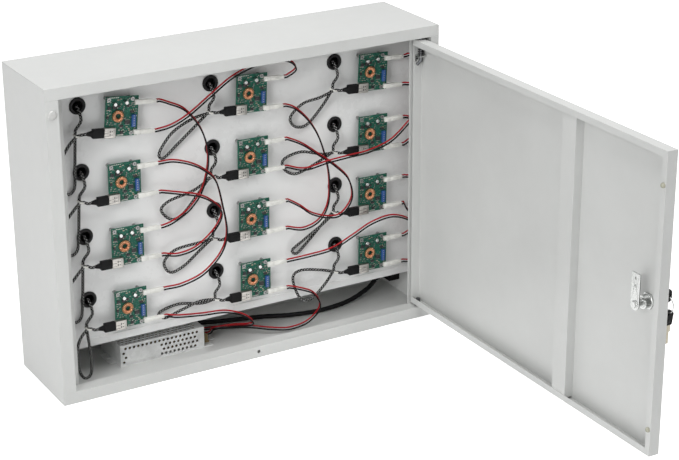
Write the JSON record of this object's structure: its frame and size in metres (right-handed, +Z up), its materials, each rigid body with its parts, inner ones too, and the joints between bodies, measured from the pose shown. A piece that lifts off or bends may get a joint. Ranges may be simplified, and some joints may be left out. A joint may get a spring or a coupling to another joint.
{
  "type": "phone charging locker",
  "caption": "Wall-height sheet steel phone charging cabinet with small locked bay doors on one side and a wide hinged service door over its charger boards on the other",
  "frame": {"origin": "middle of the cabinet's underside", "axes": "+X to the right seen from the service side, +Y towards the bay doors, +Z up; the service door stands open towards -Y"},
  "size_m": [0.6212, 0.699, 0.45],
  "materials": {
    "grey_paint": "satin",
    "dark_steel": "satin",
    "bright_steel": "satin",
    "zinc_steel": "satin",
    "tinned_steel": "satin",
    "spring_wire": "satin",
    "black_rubber": "matte",
    "black_plastic": "matte",
    "white_plastic": "satin",
    "clear_plastic": "satin",
    "green_board": "satin",
    "copper_winding": "satin",
    "braided_cord": "matte",
    "red_insulation": "satin",
    "black_insulation": "satin"
  },
  "bodies": {
    "cabinet": {"top_panel": "grey_paint", "bottom_panel": "grey_paint", "left_side_panel": "grey_paint", "right_side_panel": "grey_paint", "bay_shelves": "grey_paint", "bay_dividers": "grey_paint", "hinge_pins": "dark_steel", "mounting_panel": "grey_paint", "cable_grommets": "black_rubber", "board_standoffs": "bright_steel", "charger_boards": "green_board", "board_components": "copper_winding", "power_connectors": "white_plastic", "usb_sockets": "tinned_steel", "usb_plugs": "black_plastic", "usb_leads": "braided_cord", "phone_plugs": "black_plastic", "cable_ties": "white_plastic", "red_wires": "red_insulation", "black_wires": "black_insulation", "wire_sleeves": "black_insulation", "supply_base": "zinc_steel", "supply_cover": "zinc_steel", "supply_circuit": "green_board", "mains_inlet": "black_plastic", "frame_bumper": "clear_plastic"},
    "service_door_body": {"service_door": "grey_paint", "door_stiffener": "grey_paint", "hinge_bracket": "bright_steel", "door_buffers": "clear_plastic", "lock_barrel": "bright_steel", "hinge_spring": "spring_wire"},
    "hinge_bolt_body": {"hinge_bolt": "dark_steel"},
    "service_lock": {"lock_cam": "bright_steel", "door_key": "black_plastic"},
    "key_ring": {"spare_key_ring": "bright_steel"},
    "bay_door_body_01": {"bay_door_01": "grey_paint"},
    "bay_lock_body_01": {"bay_lock_01": "bright_steel"},
    "bay_door_body_02": {"bay_door_02": "grey_paint"},
    "bay_lock_body_02": {"bay_lock_02": "bright_steel"},
    "bay_door_body_03": {"bay_door_03": "grey_paint"},
    "bay_lock_body_03": {"bay_lock_03": "bright_steel"},
    "bay_door_body_04": {"bay_door_04": "grey_paint"},
    "bay_lock_body_04": {"bay_lock_04": "bright_steel"},
    "bay_door_body_05": {"bay_door_05": "grey_paint"},
    "bay_lock_body_05": {"bay_lock_05": "bright_steel"},
    "bay_door_body_06": {"bay_door_06": "grey_paint"},
    "bay_lock_body_06": {"bay_lock_06": "bright_steel"},
    "bay_door_body_07": {"bay_door_07": "grey_paint"},
    "bay_lock_body_07": {"bay_lock_07": "bright_steel"},
    "bay_door_body_08": {"bay_door_08": "grey_paint"},
    "bay_lock_body_08": {"bay_lock_08": "bright_steel"},
    "bay_door_body_09": {"bay_door_09": "grey_paint"},
    "bay_lock_body_09": {"bay_lock_09": "bright_steel"},
    "bay_door_body_10": {"bay_door_10": "grey_paint"},
    "bay_lock_body_10": {"bay_lock_10": "bright_steel"},
    "bay_door_body_11": {"bay_door_11": "grey_paint"},
    "bay_lock_body_11": {"bay_lock_11": "bright_steel"},
    "bay_door_body_12": {"bay_door_12": "grey_paint"},
    "bay_lock_body_12": {"bay_lock_12": "bright_steel"}
  },
  "joints": [
    {"name": "service_door_hinge", "type": "hinge", "parent": "cabinet", "child": "service_door_body", "pos_m": [0.275, -0.06725, 0.2245], "axis": [0, 0, 1], "range_deg": [-90, 24]},
    {"name": "hinge_bolt_slide", "type": "slide", "parent": "service_door_body", "child": "hinge_bolt_body", "axis": [0, 0, -1], "range_m": [0, 0.012], "stiffness_N_per_m": 400, "springref_m": -0.008, "deforming": ["hinge_spring"]},
    {"name": "door_lock_turn", "type": "hinge", "parent": "service_door_body", "child": "service_lock", "pos_m": [0.275, -0.587, 0.22], "axis": [1, 0, 0], "range_deg": [0, 90]},
    {"name": "key_ring_swing", "type": "hinge", "parent": "service_lock", "child": "key_ring", "pos_m": [0.31225, -0.587, 0.22], "axis": [0, 1, 0], "range_deg": [-60, 20]},
    {"name": "bay_door_hinge_01", "type": "hinge", "parent": "cabinet", "child": "bay_door_body_01", "pos_m": [-0.278, 0.071, 0.3893], "axis": [0, 0, 1], "range_deg": [0, 110]},
    {"name": "bay_lock_turn_01", "type": "hinge", "parent": "bay_door_body_01", "child": "bay_lock_body_01", "pos_m": [-0.12533, 0.067, 0.3893], "axis": [0, -1, 0], "range_deg": [0, 90]},
    {"name": "bay_door_hinge_02", "type": "hinge", "parent": "cabinet", "child": "bay_door_body_02", "pos_m": [-0.08133, 0.071, 0.3893], "axis": [0, 0, 1], "range_deg": [0, 110]},
    {"name": "bay_lock_turn_02", "type": "hinge", "parent": "bay_door_body_02", "child": "bay_lock_body_02", "pos_m": [0.07133, 0.067, 0.3893], "axis": [0, -1, 0], "range_deg": [0, 90]},
    {"name": "bay_door_hinge_03", "type": "hinge", "parent": "cabinet", "child": "bay_door_body_03", "pos_m": [0.11533, 0.071, 0.3893], "axis": [0, 0, 1], "range_deg": [0, 110]},
    {"name": "bay_lock_turn_03", "type": "hinge", "parent": "bay_door_body_03", "child": "bay_lock_body_03", "pos_m": [0.268, 0.067, 0.3893], "axis": [0, -1, 0], "range_deg": [0, 90]},
    {"name": "bay_door_hinge_04", "type": "hinge", "parent": "cabinet", "child": "bay_door_body_04", "pos_m": [-0.278, 0.071, 0.2959], "axis": [0, 0, 1], "range_deg": [0, 110]},
    {"name": "bay_lock_turn_04", "type": "hinge", "parent": "bay_door_body_04", "child": "bay_lock_body_04", "pos_m": [-0.12533, 0.067, 0.2959], "axis": [0, -1, 0], "range_deg": [0, 90]},
    {"name": "bay_door_hinge_05", "type": "hinge", "parent": "cabinet", "child": "bay_door_body_05", "pos_m": [-0.08133, 0.071, 0.2959], "axis": [0, 0, 1], "range_deg": [0, 110]},
    {"name": "bay_lock_turn_05", "type": "hinge", "parent": "bay_door_body_05", "child": "bay_lock_body_05", "pos_m": [0.07133, 0.067, 0.2959], "axis": [0, -1, 0], "range_deg": [0, 90]},
    {"name": "bay_door_hinge_06", "type": "hinge", "parent": "cabinet", "child": "bay_door_body_06", "pos_m": [0.11533, 0.071, 0.2959], "axis": [0, 0, 1], "range_deg": [0, 110]},
    {"name": "bay_lock_turn_06", "type": "hinge", "parent": "bay_door_body_06", "child": "bay_lock_body_06", "pos_m": [0.268, 0.067, 0.2959], "axis": [0, -1, 0], "range_deg": [0, 90]},
    {"name": "bay_door_hinge_07", "type": "hinge", "parent": "cabinet", "child": "bay_door_body_07", "pos_m": [-0.278, 0.071, 0.2025], "axis": [0, 0, 1], "range_deg": [0, 110]},
    {"name": "bay_lock_turn_07", "type": "hinge", "parent": "bay_door_body_07", "child": "bay_lock_body_07", "pos_m": [-0.12533, 0.067, 0.2025], "axis": [0, -1, 0], "range_deg": [0, 90]},
    {"name": "bay_door_hinge_08", "type": "hinge", "parent": "cabinet", "child": "bay_door_body_08", "pos_m": [-0.08133, 0.071, 0.2025], "axis": [0, 0, 1], "range_deg": [0, 110]},
    {"name": "bay_lock_turn_08", "type": "hinge", "parent": "bay_door_body_08", "child": "bay_lock_body_08", "pos_m": [0.07133, 0.067, 0.2025], "axis": [0, -1, 0], "range_deg": [0, 90]},
    {"name": "bay_door_hinge_09", "type": "hinge", "parent": "cabinet", "child": "bay_door_body_09", "pos_m": [0.11533, 0.071, 0.2025], "axis": [0, 0, 1], "range_deg": [0, 110]},
    {"name": "bay_lock_turn_09", "type": "hinge", "parent": "bay_door_body_09", "child": "bay_lock_body_09", "pos_m": [0.268, 0.067, 0.2025], "axis": [0, -1, 0], "range_deg": [0, 90]},
    {"name": "bay_door_hinge_10", "type": "hinge", "parent": "cabinet", "child": "bay_door_body_10", "pos_m": [-0.278, 0.071, 0.1091], "axis": [0, 0, 1], "range_deg": [0, 110]},
    {"name": "bay_lock_turn_10", "type": "hinge", "parent": "bay_door_body_10", "child": "bay_lock_body_10", "pos_m": [-0.12533, 0.067, 0.1091], "axis": [0, -1, 0], "range_deg": [0, 90]},
    {"name": "bay_door_hinge_11", "type": "hinge", "parent": "cabinet", "child": "bay_door_body_11", "pos_m": [-0.08133, 0.071, 0.1091], "axis": [0, 0, 1], "range_deg": [0, 110]},
    {"name": "bay_lock_turn_11", "type": "hinge", "parent": "bay_door_body_11", "child": "bay_lock_body_11", "pos_m": [0.07133, 0.067, 0.1091], "axis": [0, -1, 0], "range_deg": [0, 90]},
    {"name": "bay_door_hinge_12", "type": "hinge", "parent": "cabinet", "child": "bay_door_body_12", "pos_m": [0.11533, 0.071, 0.1091], "axis": [0, 0, 1], "range_deg": [0, 110]},
    {"name": "bay_lock_turn_12", "type": "hinge", "parent": "bay_door_body_12", "child": "bay_lock_body_12", "pos_m": [0.268, 0.067, 0.1091], "axis": [0, -1, 0], "range_deg": [0, 90]}
  ]
}
